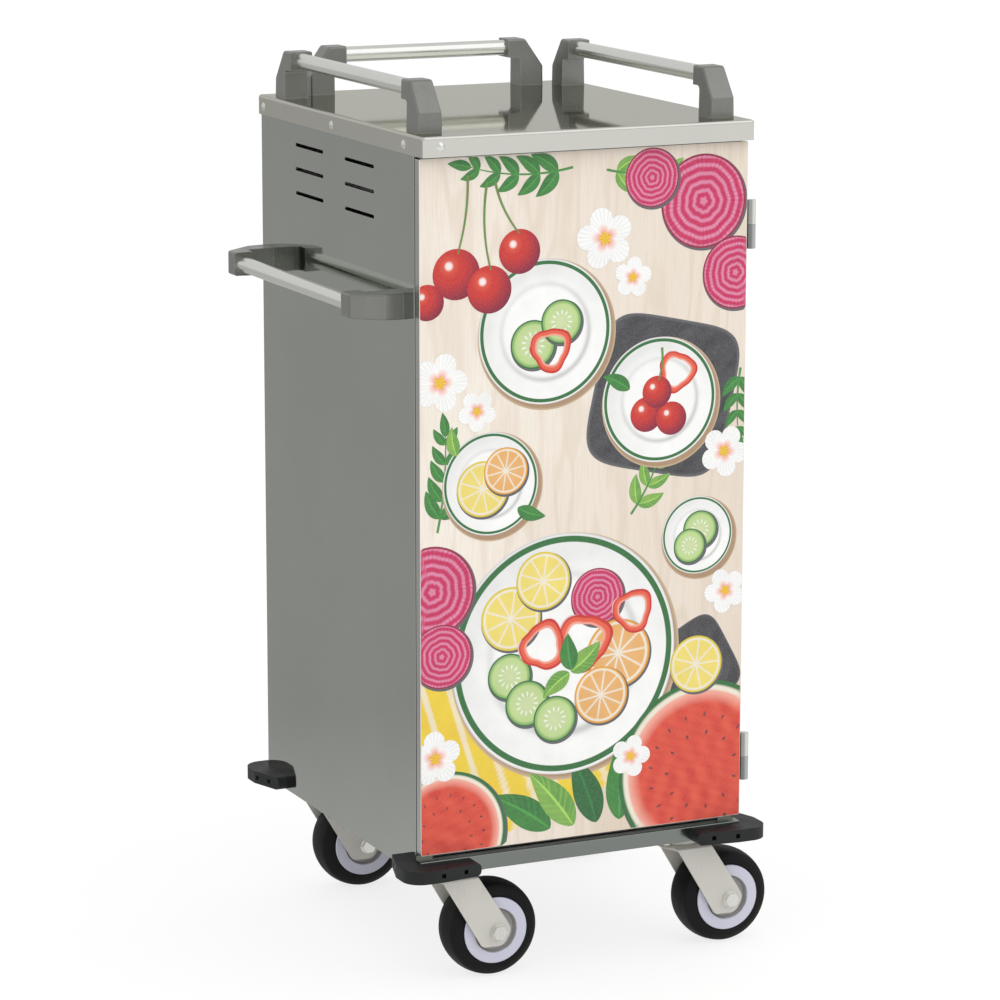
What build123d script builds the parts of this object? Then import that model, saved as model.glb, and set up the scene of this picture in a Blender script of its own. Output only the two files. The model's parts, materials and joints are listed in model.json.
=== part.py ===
from build123d import *
import os

os.makedirs("parts", exist_ok=True)

# Room service tray cart, sizes in mm. X runs right, Y to the rear, Z up from the floor.
# While it is built, x = y = 0 is the middle of the lid; every piece is moved by shift_x
# at the end so that the middle of the whole cart's bounding box stands on the origin.
lid_width = 490.0
lid_depth = 574.0
lid_top = 1170.0
lid_flange = 27.5
sheet = 1.5
fit_gap = 0.2
slide_gap = 0.4
castor_height = 166.0
wheel_radius = 67.5

# Cabinet walls: the side panels stand just inside the lid's flanges.
side_outer = lid_width / 2 - sheet - fit_gap
side_inner = side_outer - sheet
side_front = -lid_depth / 2 + 32.0
side_rear = lid_depth / 2 - 7.5
side_fold = 25.0
lid_underside = lid_top - sheet
side_top = lid_underside - 3.0

# Door and base rail, both 15 behind the lid's front flange.
rail_height = 21.0
rail_top = castor_height + rail_height
sill_height = 25.0
door_front = -lid_depth / 2 + 15.0
door_skin = 0.6
door_back = side_front - 3.5
inner_pan = 1.5
door_bottom = rail_top + 9.0
door_top = lid_top - lid_flange - 3.0
door_half = side_outer - 0.3

# Galleries and the push handle are one design of tube and cast bracket.
tube_radius = 11.0
tube_wall = 1.5
tube_rise = 54.0
socket_clearance = 0.05
bracket_foot = 36.0
bracket_reach = 55.0
bracket_height = 67.0
bracket_knee = 27.0
bracket_slope = 28.0
bracket_base_width = 36.0
bracket_top_width = 33.0
gallery_inset = 28.5
side_gallery_half = lid_depth / 2 - 39.0
rear_gallery_half = lid_width / 2 - 63.0
push_height = 939.0
push_centre = 25.5
push_half = 247.5

# Corner bumpers: proud of the cabinet all round, just under the rail's height.
bumper_x = side_outer + 30.7
bumper_y = side_rear + 26.5
bumper_bottom = castor_height + 0.5
bumper_top = rail_top - 2.5
bumper_corner = 26.0
bumper_flat = 48.0
bumper_front_wing = 109.0
bumper_side_wing = 101.0
bumper_front_end = bumper_x - bumper_front_wing
bumper_side_end = bumper_y - bumper_side_wing
bumper_front_tip = bumper_y - 8.0
bumper_side_tip = bumper_x - 17.0

# Castors.
swivel_x = side_outer - 63.3
swivel_front = side_front + 39.0
swivel_rear = side_rear - 41.5
trail = 61.0
plate_half_x = 50.0
plate_half_y = 38.0
plate_thick = 4.0
race_bottom = castor_height - 14.0
kingpin_radius = 6.0
kingpin_drop = 11.0
axle_radius = 6.0
running = 0.08
fork_outer = 36.0
fork_sheet = 3.2
washer = 0.9
tyre_half = 26.5
tread_half = 20.0
tyre_shoulder = 3.0
tyre_wall_radius = 50.0
hub_half = 28.8
hub_disc_radius = 46.7
hub_rim_radius = 46.0
hub_dish_radius = 31.5
hub_dish = 7.0

# Hinges, on the right of the door.
hinge_x = side_outer + 7.2
hinge_y = door_front + 4.0
knuckle_radius = 7.0
pin_radius = 3.0
knuckle_length = 33.0
hinge_splits = {"upper": 1026.0, "lower": 279.0}

# Rack for trays of 530 by 370.
tray_width = 370.0
tray_levels = 8
tray_pitch = 115.0
first_tray = 262.0
post_inner = tray_width / 2 + 2.0
ledge = 19.0
post_width = 40.0
runner_front = side_front + 15.0
runner_rear = side_rear - 17.5

shift_x = (side_outer + bracket_height - swivel_x - trail - wheel_radius) / 2


def block(x0, x1, y0, y1, z0, z1):
    """A box given by its six limits."""
    return Pos((x0 + x1) / 2, (y0 + y1) / 2, (z0 + z1) / 2) * Box(x1 - x0, y1 - y0, z1 - z0)


def disc(radius, z0, z1, x=0.0, y=0.0):
    """An upright cylinder between two heights."""
    return Pos(x, y, (z0 + z1) / 2) * Cylinder(radius, z1 - z0)


def along_y(radius, y0, y1, x=0.0, z=0.0):
    """A cylinder lying along Y."""
    return Pos(x, (y0 + y1) / 2, z) * Rot(X=90) * Cylinder(radius, y1 - y0)


def along_x(radius, x0, x1, y=0.0, z=0.0):
    """A cylinder lying along X."""
    return Pos((x0 + x1) / 2, y, z) * Rot(Y=90) * Cylinder(radius, x1 - x0)


def mirrored_x(shape):
    """The same piece on the other side of the cart."""
    return mirror(shape, about=Plane.YZ)


def save(node, *solids):
    """Write a node of one or more solids in the cart's frame."""
    moved = [Pos(shift_x, 0, 0) * s for s in solids]
    shape = moved[0] if len(moved) == 1 else Compound(children=moved)
    export_step(shape, f"parts/{node}.step")


# Lid: a folded pan, open below, its top edge rounded.
fold_radius = 4.0
lid_block = block(
    -lid_width / 2, lid_width / 2, -lid_depth / 2, lid_depth / 2, lid_top - lid_flange, lid_top
)
lid_block = fillet(lid_block.edges().filter_by(Axis.Z), fold_radius)
lid_block = fillet(lid_block.faces().sort_by(Axis.Z)[-1].edges(), fold_radius)
lid = offset(lid_block, amount=-sheet, openings=lid_block.faces().sort_by(Axis.Z)[0])

# Rivets: domed heads on the flanges, shanks through the flange and the wall behind it.
rivet_head = 6.2
rivet_dome = 2.6
rivet_shank = 2.4
rivet_hole = rivet_shank + socket_clearance
side_rivets = [lid_depth / 2 - 21.0, 18.0, -lid_depth / 2 + 61.0]
side_rivet_z = lid_top - 16.0
front_rivet_x = -lid_width / 2 + 26.0
front_rivet_z = lid_top - 14.0


def rivet(length):
    """A rivet with its head's flat underside at the origin, shank along -Z."""
    cap = (rivet_head**2 + rivet_dome**2) / (2 * rivet_dome)
    half_x = rivet_head * 0.7
    half_z = rivet_dome - cap + (cap**2 - half_x**2) ** 0.5
    dome = ThreePointArc((rivet_head, 0), (half_x, half_z), (0, rivet_dome))
    shank = Polyline(
        (0, rivet_dome), (0, -length), (rivet_shank, -length), (rivet_shank, 0), (rivet_head, 0)
    )
    return revolve(Plane.XZ * make_face(shank + dome), Axis.Z, 360)


left_seat = [Pos(-lid_width / 2, y, side_rivet_z) * Rot(Y=-90) for y in side_rivets]
right_seat = [Pos(lid_width / 2, y, side_rivet_z) * Rot(Y=90) for y in side_rivets]
front_seat = Pos(front_rivet_x, -lid_depth / 2, front_rivet_z) * Rot(X=90)
rivets = [seat * rivet(5.0) for seat in left_seat + right_seat] + [front_seat * rivet(3.0)]
rivet_holes = [seat * disc(rivet_hole, -6.0, 1.0) for seat in left_seat + right_seat]
for hole in rivet_holes + [front_seat * disc(rivet_hole, -6.0, 1.0)]:
    lid -= hole
save("lid", lid)
save("lid_rivets", *rivets)

# Side panels: sheets folded inwards at the front and rear edges, with vent slots.
slot_length = 100.0
slot_height = 5.0
slot_columns = [102.0, -74.0]
slot_rows = [lid_top - 57.0 - 33.7 * row for row in range(3)]


def side_panel():
    """The left side panel, with its front and rear folds and its slots."""
    wall = block(-side_outer, -side_inner, side_front, side_rear, castor_height, side_top)
    folded = -side_outer + side_fold
    front = block(-side_outer, folded, side_front, side_front + sheet, castor_height, side_top)
    rear = block(-side_outer, folded, side_rear - sheet, side_rear, castor_height, side_top)
    panel = wall + front + rear
    outside = panel.edges().filter_by(Axis.Z).group_by(Axis.X)[0]
    panel = fillet(outside, 1.2)
    cutter = Rot(Y=90) * extrude(SlotOverall(slot_length, slot_height, rotation=90), 4, both=True)
    for y in slot_columns:
        for z in slot_rows:
            panel -= Pos(-side_outer, y, z) * cutter
    return panel


left_panel = side_panel()
right_panel = mirrored_x(left_panel)
for hole in rivet_holes:
    left_panel -= hole
    right_panel -= hole


def swaged_sheet(half_width, z0, z1, y_out, border, depth, direction):
    """A sheet across the cart whose middle field is pressed in, with sloped edges.

    y_out is the outer face and direction the way (in Y) that the field is pressed.
    """
    middle = (z0 + z1) / 2
    tall = z1 - z0
    slope = depth * 1.4
    near = Plane((0, y_out, middle), x_dir=(1, 0, 0), z_dir=(0, direction, 0))
    far = near.offset(depth)
    field = loft(
        [
            near * RectangleRounded(2 * (half_width - border), tall - 2 * border, 22),
            far * RectangleRounded(
                2 * (half_width - border - slope), tall - 2 * (border + slope), 18
            ),
        ]
    )
    inner = y_out + direction * sheet
    flat = block(-half_width, half_width, min(y_out, inner), max(y_out, inner), z0, z1)
    return flat + Pos(0, direction * sheet, 0) * field - field


# Back panel, riveted inside the rear folds of the side panels.
back_half = side_inner - 1.3
back_top = lid_underside
back_panel = swaged_sheet(
    back_half, castor_height + 1.0, back_top, side_rear - sheet, 45.0, 6.0, -1.0
)
back_rivets = []
back_rows = 6
back_margin = 64.0
back_pitch = (side_top - castor_height - 2 * back_margin) / (back_rows - 1)
for side in (-1, 1):
    for row in range(back_rows):
        height = castor_height + back_margin + row * back_pitch
        seat = Pos(side * (side_outer - side_fold / 2), side_rear, height) * Rot(X=-90)
        back_rivets.append(seat * rivet(4.0))
        hole = seat * disc(rivet_hole, -5.0, 1.0)
        back_panel -= hole
        left_panel -= hole
        right_panel -= hole
save("side_panel_left", left_panel)
save("side_panel_right", right_panel)
save("back_panel", back_panel)
save("back_rivets", *back_rivets)

# Base: front rail under the door, castor beams, side rails and a floor with upturned edges.
front_rail = block(-side_outer, side_outer, door_front, side_front, castor_height, rail_top)
front_rail = fillet(front_rail.edges().filter_by(Axis.X).group_by(Axis.Y)[0], 1.5)
front_rail -= block(
    -side_outer - 1, side_outer + 1, door_front + 2, side_front - 2, castor_height + 2, rail_top - 2
)
save("front_rail", front_rail)

beam_half = side_inner - fit_gap
beam_front = side_front + sheet + fit_gap
beam_rear = side_rear - 2 * sheet - fit_gap
beam_depth = 92.0
beam_sheet = 2.5


def channel(x0, x1, y0, y1):
    """An upward-open channel at the base, long in X or Y as its limits say."""
    outer = block(x0, x1, y0, y1, castor_height, rail_top)
    along = Axis.X if x1 - x0 > y1 - y0 else Axis.Y
    across = (0, beam_sheet) if along == Axis.X else (beam_sheet, 0)
    cut = block(
        x0 + (across[0] or -1), x1 - (across[0] or -1),
        y0 + (across[1] or -1), y1 - (across[1] or -1),
        castor_height + beam_sheet, rail_top + 1,
    )
    return fillet(outer.edges().filter_by(along).group_by(Axis.Z)[0], 2.0) - cut


bolt_radius = 4.0
bolt_pitch_x = 74.0
bolt_pitch_y = 54.0
castor_places = [
    (side, y) for y in (swivel_front, swivel_rear) for side in (-swivel_x, swivel_x)
]
bolt_places = [
    (x + i * bolt_pitch_x / 2, y + j * bolt_pitch_y / 2)
    for x, y in castor_places for i in (-1, 1) for j in (-1, 1)
]
beams = [
    channel(-beam_half, beam_half, beam_front, beam_front + beam_depth),
    channel(-beam_half, beam_half, beam_rear - beam_depth, beam_rear),
]
for x, y in bolt_places:
    hole = disc(bolt_radius + socket_clearance, castor_height - 1, rail_top, x, y)
    beams = [beam - hole for beam in beams]
save("castor_beam_front", beams[0])
save("castor_beam_rear", beams[1])
side_rail = channel(
    -beam_half, -beam_half + 34.0, beam_front + beam_depth + fit_gap, beam_rear - beam_depth - fit_gap
)
save("side_rails", side_rail, mirrored_x(side_rail))

floor_block = block(-beam_half, beam_half, beam_front, beam_rear, rail_top, rail_top + sill_height)
floor_block = fillet(floor_block.faces().sort_by(Axis.Z)[0].edges(), 3.0)
floor_pan = offset(floor_block, amount=-sheet, openings=floor_block.faces().sort_by(Axis.Z)[-1])
save("floor_panel", floor_pan)

# Header behind the lid's front flange: the door's seal closes against it.
header_bottom = lid_top - 52.0
header = block(
    -side_outer + side_fold + fit_gap, side_outer - side_fold - fit_gap,
    side_front, side_front + 30.0, header_bottom, lid_underside,
)
header -= block(
    -side_outer, side_outer, side_front + sheet, side_front + 40.0,
    header_bottom + sheet, lid_underside - sheet,
)
save("header_rail", header)

# Door: outer pan with a printed skin, inner pan, and a seal all round.
door_skin_sheet = block(-door_half, door_half, door_front, door_front + door_skin, door_bottom, door_top)
door_skin_sheet = fillet(door_skin_sheet.edges().filter_by(Axis.Y), 2.0)
save("door_print_skin", door_skin_sheet)
pan_block = block(
    -door_half, door_half, door_front + door_skin, door_back, door_bottom, door_top
)
pan_block = fillet(pan_block.edges().filter_by(Axis.Y), 2.0)
pan_back = pan_block.faces().sort_by(Axis.Y)[-1]
save("door_outer_pan", offset(pan_block, amount=-sheet, openings=pan_back))
door_inner = swaged_sheet(
    door_half - 1.0, door_bottom + 1.0, door_top - 1.0, door_back + inner_pan, 52.0, 6.0, -1.0
)
save("door_inner_pan", door_inner)
seal_half = door_half - 3.0
seal_width = 13.0
seal_bottom = door_bottom + 1.0
seal_top = door_top - 4.0
seal_y0 = door_back + inner_pan
seal_middle = (seal_bottom + seal_top) / 2
seal_tall = seal_top - seal_bottom
seal_plane = Plane((0, seal_y0, seal_middle), x_dir=(1, 0, 0), z_dir=(0, -1, 0))
seal_ring = RectangleRounded(2 * seal_half, seal_tall, 8) - RectangleRounded(
    2 * (seal_half - seal_width), seal_tall - 2 * seal_width, 3
)
seal = extrude(seal_plane * seal_ring, -(side_front - seal_y0))
seal = chamfer(seal.faces().sort_by(Axis.Y)[-1].outer_wire().edges(), 1.0)
save("door_seal", seal)

# Hinges lift off: the lower knuckle and its pin stay on the cabinet.
leaf = 2.0
leaf_end = side_front + 27.0
for name, split in hinge_splits.items():
    low = split - knuckle_length - slide_gap / 2
    fixed = disc(knuckle_radius, low, split - slide_gap / 2, hinge_x, hinge_y)
    fixed = fillet(fixed.edges().sort_by(Axis.Z)[0], 0.4)
    fixed += block(side_outer, side_outer + leaf, hinge_y, leaf_end, low + 1, split - 1)
    pin_low = low + 2
    fixed += disc(pin_radius, pin_low, split + knuckle_length - 5, hinge_x, hinge_y)
    for z in (split - 9, low + 8):
        fixed -= along_x(2.1, side_outer, side_outer + leaf + 1, leaf_end - 10.0, z)
    save(f"hinge_{name}_frame", fixed)
    high = split + knuckle_length + slide_gap / 2
    turning = disc(knuckle_radius, split + slide_gap / 2, high, hinge_x, hinge_y)
    turning = fillet(turning.edges().sort_by(Axis.Z)[-1], 0.4)
    turning += block(door_half, door_half + leaf, hinge_y, door_back - 0.5, split + 1, high - 1)
    turning -= disc(pin_radius + running, split - 1, high - 4, hinge_x, hinge_y)
    save(f"hinge_{name}_door", turning)

# Magnetic catch behind the door's free edge, with its strike on the door.
catch_z = door_top - 59.5
catch_x = -side_outer + side_fold + 2.0
strike_thick = 1.0
catch = block(catch_x, catch_x + 16, side_front + 0.4, side_front + 22, catch_z - 26, catch_z + 26)
catch = fillet(catch.edges().filter_by(Axis.Z), 2.0)
catch += block(
    -side_inner + 4, catch_x + 1, side_front + sheet, side_front + sheet + 2, catch_z - 16, catch_z + 16
)
for x in (catch_x + 4.5, catch_x + 11.5):
    catch += block(x - 1, x + 1, side_front - 0.6, side_front + 2, catch_z - 20, catch_z + 20)
save("magnetic_catch", catch)
strike = block(
    catch_x - 1, catch_x + 17, seal_y0, seal_y0 + strike_thick, catch_z - 28, catch_z + 28
)
save("catch_strike", fillet(strike.edges().filter_by(Axis.Y), 3.0))

# Rack: four posts, and runners with a ledge that a tray slides on.
post_top = header_bottom - 1.0
post_bottom = rail_top + sheet
posts = []
for y in (runner_front + 20.0, runner_rear - 20.0 - post_width):
    post = block(-side_inner, -post_inner, y, y + post_width, post_bottom, post_top)
    post -= block(
        -side_inner + sheet, -post_inner - sheet, y + sheet, y + post_width + 1, 0, post_top + 1
    )
    post -= block(-side_inner, -side_inner + 6, y - 1, y + post_width + 1, 0, rail_top + sill_height + 1)
    posts.append(post)
save("rack_posts_left", *posts)
save("rack_posts_right", *[mirrored_x(p) for p in posts])
web = 14.0
runners = []
for level in range(tray_levels):
    z = first_tray + level * tray_pitch
    corner = Polyline(
        (-post_inner, z - web), (-post_inner, z), (-post_inner + ledge, z),
        (-post_inner + ledge, z - sheet), (-post_inner + sheet, z - sheet),
        (-post_inner + sheet, z - web), (-post_inner, z - web),
    )
    face = Plane((0, runner_front, 0), x_dir=(1, 0, 0), z_dir=(0, -1, 0)) * make_face(corner)
    runner = extrude(face, -(runner_rear - runner_front))
    runner += block(-post_inner, -post_inner + ledge, runner_rear - sheet, runner_rear, z - sheet, z + 12)
    runners.append(runner)
save("tray_runners_left", *runners)
save("tray_runners_right", *[mirrored_x(r) for r in runners])


# Handle bracket: cast foot with a hooked head that holds the end of the tube.
def bracket():
    """Foot's outer end at the origin, tube along +X, base on the XY plane."""
    hook_low = tube_rise - tube_radius - 2.5
    outline = Polyline(
        (0, 0), (0, bracket_knee), (bracket_slope, bracket_height),
        (bracket_reach, bracket_height), (bracket_reach, hook_low), (bracket_foot + 6, hook_low),
    ) + ThreePointArc(
        (bracket_foot + 6, hook_low),
        (bracket_foot + 1.8, hook_low - 1.8),
        (bracket_foot, hook_low - 6),
    ) + Polyline((bracket_foot, hook_low - 6), (bracket_foot, 0), (0, 0))
    side = Plane.XZ * make_face(outline)
    body = extrude(side, bracket_base_width / 2, both=True)
    ends = Plane.YZ * Polyline(
        (-bracket_base_width / 2, 0), (bracket_base_width / 2, 0),
        (bracket_top_width / 2, bracket_height), (-bracket_top_width / 2, bracket_height),
        (-bracket_base_width / 2, 0),
    )
    body &= extrude(make_face(ends), bracket_reach + 1)
    across = body.edges().filter_by(Axis.Y)
    knee = across.sort_by_distance((0, 0, bracket_knee))[0:1]
    brow = across.sort_by_distance((bracket_slope, 0, bracket_height))[0:1]
    body = fillet(knee + brow, 6.0)
    body = fillet(body.faces().sort_by(Axis.Z)[-1].edges().filter_by(Axis.X), 3.0)
    socket = Pos((bracket_reach + 30) / 2, 0, tube_rise) * Rot(Y=90) * Cylinder(
        tube_radius + socket_clearance, bracket_reach - 30
    )
    return body - socket


def handle(half_length):
    """Two brackets and a tube, centred on the origin, tube along X, base on the XY plane."""
    one = Pos(-half_length, 0, 0) * bracket()
    other = mirror(one, about=Plane.YZ)
    end = half_length - 31.0
    tube = along_x(tube_radius, -end, end, 0, tube_rise)
    tube -= along_x(tube_radius - tube_wall, -end - 1, end + 1, 0, tube_rise)
    return one, other, tube


gallery_x = lid_width / 2 - gallery_inset
gallery_y = lid_depth / 2 - gallery_inset
handles = {
    "gallery_left": (Pos(-gallery_x, 0, lid_top) * Rot(Z=90), side_gallery_half),
    "gallery_right": (Pos(gallery_x, 0, lid_top) * Rot(Z=90), side_gallery_half),
    "gallery_rear": (Pos(0, gallery_y, lid_top), rear_gallery_half),
    "push_handle": (
        Pos(-side_outer, push_centre, push_height) * Rot(Z=90) * Rot(X=-90), push_half
    ),
}
for name, (place, half_length) in handles.items():
    one, other, tube = handle(half_length)
    save(f"{name}_brackets", place * one, place * other)
    save(f"{name}_tube", place * tube)


# Corner bumpers: soft corners proud of the cabinet, both arms drawn in towards rounded ends.
def bumper(x_in, y_in):
    """A right front bumper, given the two cabinet planes that it wraps."""
    plan = Polyline(
        (x_in, -y_in), (x_in, -bumper_side_end), (bumper_side_tip, -bumper_side_end),
        (bumper_x, -bumper_y + bumper_flat), (bumper_x, -bumper_y),
        (bumper_x - bumper_flat, -bumper_y),
        (bumper_front_end, -bumper_front_tip), (bumper_front_end, -y_in), (x_in, -y_in),
    )
    body = extrude(Pos(0, 0, bumper_bottom) * make_face(plan), bumper_top - bumper_bottom)
    uprights = body.edges().filter_by(Axis.Z)
    body = fillet(uprights.sort_by_distance((bumper_x, -bumper_y, bumper_top))[0:1], bumper_corner)
    tips = [
        e for e in body.edges().filter_by(Axis.Z, reverse=True)
        if e.center().Y > -bumper_side_end - 0.1 or e.center().X < bumper_front_end + 0.1
    ]
    body = fillet(tips, 7.0)
    return body


screw_hole = 6.0
hole_length = 36.0
hole_z = (bumper_bottom + bumper_top) / 2
front_holes = [bumper_front_end + 24.0, bumper_front_end + 59.0]
side_holes = [bumper_side_end + 22.0, bumper_side_end + 47.0]
front_bumper = bumper(side_outer, -door_front)
rear_bumper = mirror(bumper(side_outer, side_rear), about=Plane.XZ)
for x in front_holes:
    front_bumper -= Pos(x, -bumper_y, hole_z) * Box(screw_hole, hole_length, screw_hole)
    rear_bumper -= Pos(x, bumper_y, hole_z) * Box(screw_hole, hole_length, screw_hole)
for y in side_holes:
    front_bumper -= Pos(bumper_x, -y, hole_z) * Box(hole_length, screw_hole, screw_hole)
    rear_bumper -= Pos(bumper_x, y, hole_z) * Box(hole_length, screw_hole, screw_hole)
save("bumper_front_right", front_bumper)
save("bumper_front_left", mirrored_x(front_bumper))
save("bumper_rear_right", rear_bumper)
save("bumper_rear_left", mirrored_x(rear_bumper))


# Castor pieces, built with the kingpin on the Z axis and the wheel trailing along +X.
def castor_plate():
    """Bolted top plate, fixed race cup and the kingpin that the fork turns on."""
    plate_low = castor_height - plate_thick
    plate = block(-plate_half_x, plate_half_x, -plate_half_y, plate_half_y, plate_low, castor_height)
    plate = fillet(plate.edges().filter_by(Axis.Z), 8.0)
    for i in (-1, 1):
        for j in (-1, 1):
            plate -= disc(
                bolt_radius + socket_clearance, plate_low - 1, castor_height + 1,
                i * bolt_pitch_x / 2, j * bolt_pitch_y / 2,
            )
    cup = Polyline(
        (0, plate_low), (32, plate_low), (29, race_bottom + 3),
        (27, race_bottom), (0, race_bottom), (0, plate_low),
    )
    pin = disc(kingpin_radius, race_bottom - kingpin_drop - 1, race_bottom + 1)
    head = disc(10.0, race_bottom - kingpin_drop - 4.5, race_bottom - kingpin_drop)
    return plate + revolve(Plane.XZ * make_face(cup), Axis.Z, 360) + pin + head


def castor_fork():
    """Swivel head, bridge and two slanting legs with rounded ends below the axle."""
    bridge_top = race_bottom - 3.0
    bridge_low = bridge_top - fork_sheet
    head = Polyline(
        (0, race_bottom - slide_gap), (24, race_bottom - slide_gap), (33, bridge_top - 1),
        (33, bridge_low), (0, bridge_low), (0, race_bottom - slide_gap),
    )
    leg_front = trail - 83.0
    leg_rear = trail - 29.5
    toe = Polyline(
        (leg_front, bridge_top), (trail - 24.5, wheel_radius - 17.5),
        (trail - 20.5, wheel_radius - 20), (trail, wheel_radius - 20.5),
    )
    heel = Spline(
        (trail, wheel_radius - 20.5), (trail + 14, wheel_radius - 12),
        (trail + 19, wheel_radius + 1), (trail + 12, wheel_radius + 17),
        tangents=((1, 0), (-0.55, 1)),
    )
    back = Polyline(
        (trail + 12, wheel_radius + 17), (leg_rear, bridge_top), (leg_front, bridge_top)
    )
    cheek = make_face(toe + heel + back)
    near = extrude(Plane((0, -fork_outer, 0), x_dir=(1, 0, 0), z_dir=(0, -1, 0)) * cheek, -fork_sheet)
    bridge = block(leg_front, leg_rear, -fork_outer, fork_outer, bridge_low, bridge_top)
    fork = bridge + near + mirror(near, about=Plane.XZ)
    folds = fork.edges().filter_by(Axis.X).group_by(Axis.Z)[-1]
    fork = fillet(folds, 2.5)
    fork += revolve(Plane.XZ * make_face(head), Axis.Z, 360)
    fork -= disc(kingpin_radius + running, bridge_low - 10, race_bottom + 10)
    bolt_reach = fork_outer + 5
    return fork - along_y(axle_radius + socket_clearance, -bolt_reach, bolt_reach, trail, wheel_radius)


def castor_axle():
    """Hexagon bolt with its nut, a washer under the head and one inside each fork leg."""
    inside = fork_outer - fork_sheet
    end_washer = 1.5
    shaft = along_y(axle_radius, -fork_outer, fork_outer + 9, trail, wheel_radius)
    shaft += along_y(11.5, -fork_outer - end_washer, -fork_outer, trail, wheel_radius)
    for y, direction in ((-fork_outer - end_washer, -1), (fork_outer, 1)):
        seat = Plane((trail, y, wheel_radius), x_dir=(1, 0, 0), z_dir=(0, direction, 0))
        nut = extrude(seat * RegularPolygon(10.5, 6), 7.5)
        turned = fillet(along_y(10.5, -4, 3.5).edges().sort_by(Axis.Y)[0], 1.2)
        middle = Pos(trail, y + direction * 3.5, wheel_radius)
        shaft += nut & middle * (turned if direction < 0 else mirror(turned, about=Plane.XZ))
    shaft += along_y(9.0, -inside, -inside + washer, trail, wheel_radius)
    shaft += along_y(9.0, inside - washer, inside, trail, wheel_radius)
    return shaft


def castor_hub():
    """Wheel centre: a dished rim ring on each side, a web and a bored boss."""
    boss = fork_outer - fork_sheet - washer - slide_gap
    bore = axle_radius + running
    dish = hub_half - hub_dish
    half = Polyline(
        (bore, 0), (bore, boss), (13, boss), (15, dish), (hub_dish_radius - 2.5, dish),
        (hub_dish_radius, hub_half), (hub_disc_radius - 0.8, hub_half),
        (hub_disc_radius, hub_half - 0.8), (hub_disc_radius, tyre_half + 0.2),
        (hub_rim_radius - 0.05, tyre_half + 0.2), (hub_rim_radius - 0.05, 0), (bore, 0),
    )
    one = revolve(make_face(half), Axis.Y, 360)
    whole = one + mirror(one, about=Plane.XZ)
    return Pos(trail, 0, wheel_radius) * whole


def castor_tyre():
    """Solid tyre: flat side walls, rounded shoulders and a slightly crowned tread."""
    shoulder = (wheel_radius - tyre_shoulder, tread_half)
    low_shoulder = (wheel_radius - tyre_shoulder, -tread_half)
    section = (
        TangentArc((tyre_wall_radius, tyre_half), shoulder, tangent=(1, 0))
        + ThreePointArc(shoulder, (wheel_radius, 0), low_shoulder)
        + TangentArc((tyre_wall_radius, -tyre_half), low_shoulder, tangent=(1, 0))
        + Polyline(
            (tyre_wall_radius, -tyre_half), (hub_rim_radius, -tyre_half),
            (hub_rim_radius, tyre_half), (tyre_wall_radius, tyre_half),
        )
    )
    return Pos(trail, 0, wheel_radius) * revolve(make_face(section), Axis.Y, 360)


castor_pieces = {
    "plate": castor_plate(), "fork": castor_fork(), "axle": castor_axle(),
    "hub": castor_hub(), "tyre": castor_tyre(),
}
corner_names = ["front_left", "front_right", "rear_left", "rear_right"]
for corner, (x, y) in zip(corner_names, castor_places):
    for piece, shape in castor_pieces.items():
        save(f"castor_{corner}_{piece}", Pos(x, y, 0) * shape)
    print("swivel", corner, x + shift_x, y, "axle", x + trail + shift_x, y, wheel_radius)

# Bolts that hold the castor plates to the beams.
bolts = []
for x, y in bolt_places:
    head = disc(6.5, castor_height - plate_thick - 4.5, castor_height - plate_thick, x, y)
    shank = disc(bolt_radius, castor_height - plate_thick, castor_height + beam_sheet + 8, x, y)
    nut = disc(6.5, castor_height + beam_sheet, castor_height + beam_sheet + 6, x, y)
    bolts.append(head + shank + nut)
save("castor_bolts", *bolts)
print("hinge axis", hinge_x + shift_x, hinge_y)
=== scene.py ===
import json
import math

import bpy
import numpy as np
from mathutils import Matrix, Vector


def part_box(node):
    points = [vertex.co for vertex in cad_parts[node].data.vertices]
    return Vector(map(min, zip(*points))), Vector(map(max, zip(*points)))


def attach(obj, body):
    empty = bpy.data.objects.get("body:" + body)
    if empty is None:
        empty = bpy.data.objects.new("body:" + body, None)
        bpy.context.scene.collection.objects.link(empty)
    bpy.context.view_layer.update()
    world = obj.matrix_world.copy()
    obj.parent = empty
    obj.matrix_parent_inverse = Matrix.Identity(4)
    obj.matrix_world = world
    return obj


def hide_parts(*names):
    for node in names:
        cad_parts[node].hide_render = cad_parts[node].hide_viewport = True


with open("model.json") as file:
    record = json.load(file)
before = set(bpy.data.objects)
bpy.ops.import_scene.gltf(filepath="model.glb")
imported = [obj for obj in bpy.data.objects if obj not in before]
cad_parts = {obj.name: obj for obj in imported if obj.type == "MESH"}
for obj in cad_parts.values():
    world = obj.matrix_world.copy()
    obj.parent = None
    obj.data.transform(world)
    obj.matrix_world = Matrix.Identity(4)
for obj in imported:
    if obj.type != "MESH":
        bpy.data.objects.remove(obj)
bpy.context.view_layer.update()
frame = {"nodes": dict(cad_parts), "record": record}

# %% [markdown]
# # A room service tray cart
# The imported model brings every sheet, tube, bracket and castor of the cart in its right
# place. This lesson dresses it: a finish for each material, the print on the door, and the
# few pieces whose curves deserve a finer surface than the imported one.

slot_of = {part["node"]: part["material_slot"] for part in frame["record"]["subparts"]}

# %% [markdown]
# ## Small helpers for finishes
# A finish is a little network of nodes. The same steps come back in all of them: take the
# object's own coordinates in metres, stretch them, feed a noise, and use it to move the
# colour, the roughness and the bump a little. Writing each step once keeps the recipes
# readable. Colours are written as the eye sees them (0 to 255) and turned into linear light.


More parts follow.
